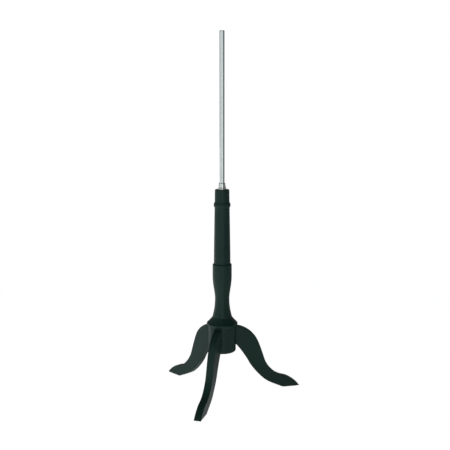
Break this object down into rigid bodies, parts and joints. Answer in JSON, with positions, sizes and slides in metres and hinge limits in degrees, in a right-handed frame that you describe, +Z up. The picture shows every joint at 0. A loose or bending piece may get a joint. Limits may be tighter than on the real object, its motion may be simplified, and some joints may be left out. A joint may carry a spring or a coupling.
{
  "type": "tripod pole stand",
  "caption": "Painted turned-wood column on three curved legs, with a chromed pole that telescopes and swivels in it and is locked by a conical nut.",
  "frame": {"origin": "on the floor, at the middle of the stand's outer box seen from above; the column's axis is at X = 0, Y = +0.0619 m", "axes": "+Z up, along the column and the pole; the front leg points along -Y and the other two at 120 degrees to it"},
  "size_m": [0.4756, 0.412, 1.1866],
  "materials": {
    "painted_wood": "satin very dark green-black paint over turned and sawn wood",
    "pole_chrome": "polished chromed tube with fine drawing lines",
    "lock_chrome": "polished chrome on turned steel",
    "brass": "plain turned brass",
    "nylon": "natural moulded nylon",
    "zinc_steel": "zinc-plated steel",
    "beech": "bare beech",
    "felt": "dense wool felt"
  },
  "bodies": {
    "base": {"turned_column": "painted_wood", "collar_ring": "painted_wood", "leg_hub": "painted_wood", "leg_front": "painted_wood", "leg_right": "painted_wood", "leg_left": "painted_wood", "collet_socket": "lock_chrome", "threaded_insert": "brass", "center_bolt": "zinc_steel", "center_washer": "zinc_steel", "hanger_bolt_front": "zinc_steel", "hanger_bolt_right": "zinc_steel", "hanger_bolt_left": "zinc_steel", "saddle_washer_front": "zinc_steel", "saddle_washer_right": "zinc_steel", "saddle_washer_left": "zinc_steel", "leg_nut_front": "zinc_steel", "leg_nut_right": "zinc_steel", "leg_nut_left": "zinc_steel", "dowel_upper_front": "beech", "dowel_upper_right": "beech", "dowel_upper_left": "beech", "dowel_lower_front": "beech", "dowel_lower_right": "beech", "dowel_lower_left": "beech", "foot_pad_front": "felt", "foot_pad_right": "felt", "foot_pad_left": "felt"},
    "pole_slider": {"pole_foot_bush": "nylon"},
    "pole": {"pole_tube": "pole_chrome", "pole_top_plug": "pole_chrome"},
    "clamp_ring": {"clamp_ring": "brass"},
    "lock_nut": {"lock_nut": "lock_chrome"}
  },
  "joints": [
    {"name": "pole_height", "type": "slide", "parent": "base", "child": "pole_slider", "axis": [0, 0, 1], "range_m": [-0.32, 0.018]},
    {"name": "pole_swivel", "type": "hinge", "parent": "pole_slider", "child": "pole", "pos_m": [0, 0.06194, 0.612], "axis": [0, 0, 1], "continuous": true},
    {"name": "clamp_ring_rise", "type": "slide", "parent": "base", "child": "clamp_ring", "axis": [0, 0, 1], "range_m": [0, 0.001]},
    {"name": "lock_nut_turn", "type": "hinge", "parent": "clamp_ring", "child": "lock_nut", "pos_m": [0, 0.06194, 0.697], "axis": [0, 0, 1], "range_deg": [0, 270]}
  ],
  "couplings": [
    {"joint": "clamp_ring_rise", "follows": "lock_nut_turn", "m_per_rad": 0.00019894}
  ]
}
